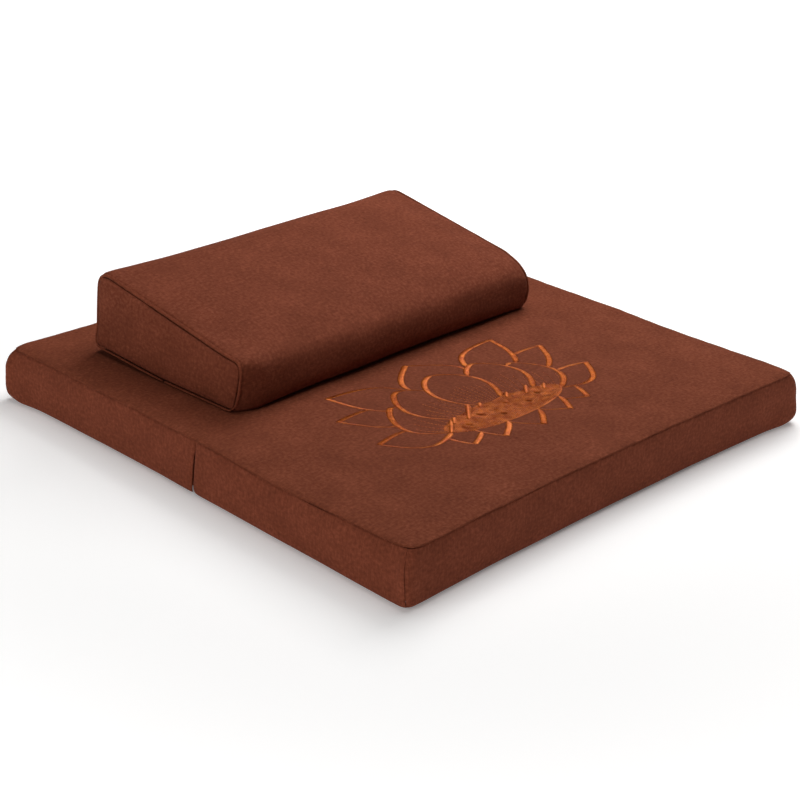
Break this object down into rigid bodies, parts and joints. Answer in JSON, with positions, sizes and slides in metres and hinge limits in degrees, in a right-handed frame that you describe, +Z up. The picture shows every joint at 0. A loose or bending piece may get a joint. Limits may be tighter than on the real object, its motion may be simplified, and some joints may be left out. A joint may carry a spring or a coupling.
{
  "type": "folding meditation cushion",
  "caption": "Square mat in hinged padded halves under one cloth, with a sloping wedge cushion resting on the rear half.",
  "frame": {"origin": "on the floor under the middle of the mat's bounding box", "axes": "+Z up, +X to the right along the mat's front edge, +Y to the back, where the wedge lies"},
  "size_m": [0.7116, 0.7048, 0.183],
  "materials": {
    "mat_cloth": "matt linen-look weave, reddish brown",
    "band_cloth": "matt linen-look weave, reddish brown, slubs upright",
    "wedge_cloth": "matt linen-look weave, reddish brown",
    "welt_cloth": "matt linen-look weave on a thin welt",
    "embroidery_thread": "silky satin stitch, copper orange"
  },
  "bodies": {
    "root": {"mat_front_pad": "mat_cloth", "mat_rear_pad": "mat_cloth", "mat_top_panel": "mat_cloth", "front_half_front_band": "band_cloth", "front_half_left_band": "band_cloth", "front_half_right_band": "band_cloth", "rear_half_back_band": "band_cloth", "rear_half_left_band": "band_cloth", "rear_half_right_band": "band_cloth", "wedge_pad": "wedge_cloth", "wedge_left_end": "wedge_cloth", "wedge_right_end": "wedge_cloth", "wedge_left_welt": "welt_cloth", "wedge_right_welt": "welt_cloth"}
  },
  "joints": []
}
